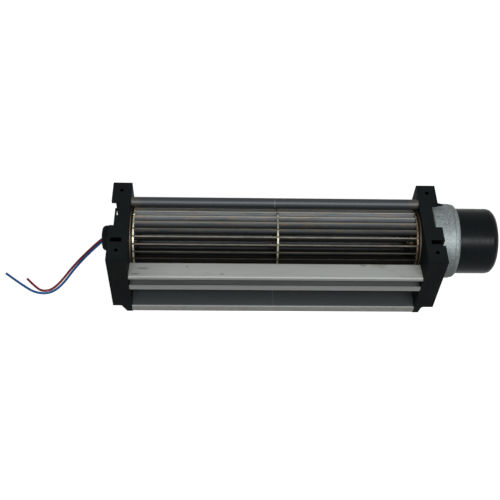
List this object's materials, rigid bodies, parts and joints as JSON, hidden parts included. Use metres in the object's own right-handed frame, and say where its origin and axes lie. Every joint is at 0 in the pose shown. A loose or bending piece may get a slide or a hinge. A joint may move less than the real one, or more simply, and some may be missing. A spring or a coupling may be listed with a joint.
{
  "type": "cross flow fan",
  "caption": "Cross flow fan: bladed impeller between two moulded side plates, folded sheet air walls and an outer rotor motor on one end, with two loose leads.",
  "frame": {"origin": "on the ground plane, under the middle of the fan's box without its leads", "axes": "+X along the impeller towards the motor, +Y to the rear of the housing, +Z out of the inlet face"},
  "size_m": [0.3214, 0.0769, 0.057],
  "materials": {
    "blade_aluminium": "rolled strip, dull with a warm stain",
    "ring_aluminium": "punched sheet, dull with a warm stain",
    "housing_plastic": "moulded, matt black",
    "rear_sheet": "zinc coated sheet",
    "front_sheet": "zinc coated sheet, dull, faint brown stains",
    "sintered_bronze": "sintered, oil filled",
    "black_rubber": "moulded rubber",
    "plain_steel": "turned steel",
    "seat_aluminium": "die cast",
    "hub_brass": "turned",
    "can_steel": "drawn steel, mottled zinc grey",
    "cup_black": "drawn steel, semi-gloss black",
    "magnet_ferrite": "sintered ferrite",
    "core_steel": "stacked sheet laminations",
    "copper_wire": "enamelled copper wire",
    "board_green": "glass fibre board",
    "lead_blue_pvc": "wire insulation",
    "lead_red_pvc": "wire insulation"
  },
  "bodies": {
    "housing": {"left_side_plate": "housing_plastic", "right_side_plate": "housing_plastic", "rear_wall": "rear_sheet", "front_wall": "front_sheet", "bearing_bush": "sintered_bronze", "front_bush": "sintered_bronze", "rear_bush": "sintered_bronze", "bearing_mount": "black_rubber", "lead_grommet": "black_rubber", "motor_screws": "plain_steel", "motor_seat": "seat_aluminium", "motor_can": "can_steel", "stator_core": "core_steel", "stator_windings": "copper_wire", "circuit_board": "board_green", "lead_blue": "lead_blue_pvc", "lead_red": "lead_red_pvc"},
    "impeller": {"blade_01": "blade_aluminium", "blade_02": "blade_aluminium", "blade_03": "blade_aluminium", "blade_04": "blade_aluminium", "blade_05": "blade_aluminium", "blade_06": "blade_aluminium", "blade_07": "blade_aluminium", "blade_08": "blade_aluminium", "blade_09": "blade_aluminium", "blade_10": "blade_aluminium", "blade_11": "blade_aluminium", "blade_12": "blade_aluminium", "blade_13": "blade_aluminium", "blade_14": "blade_aluminium", "blade_15": "blade_aluminium", "blade_16": "blade_aluminium", "blade_17": "blade_aluminium", "blade_18": "blade_aluminium", "blade_19": "blade_aluminium", "blade_20": "blade_aluminium", "blade_21": "blade_aluminium", "blade_22": "blade_aluminium", "blade_23": "blade_aluminium", "blade_24": "blade_aluminium", "blade_25": "blade_aluminium", "blade_26": "blade_aluminium", "centre_ring": "ring_aluminium", "left_end_disc": "ring_aluminium", "right_end_disc": "ring_aluminium", "stub_shaft": "plain_steel", "drive_damper": "black_rubber", "drive_hub": "hub_brass", "motor_shaft": "plain_steel", "rotor_cup": "cup_black", "magnet_ring": "magnet_ferrite"}
  },
  "joints": [
    {"name": "impeller_spin", "type": "hinge", "parent": "housing", "child": "impeller", "pos_m": [-0.0155, 0.005, 0.032], "axis": [-1, 0, 0], "continuous": true}
  ]
}
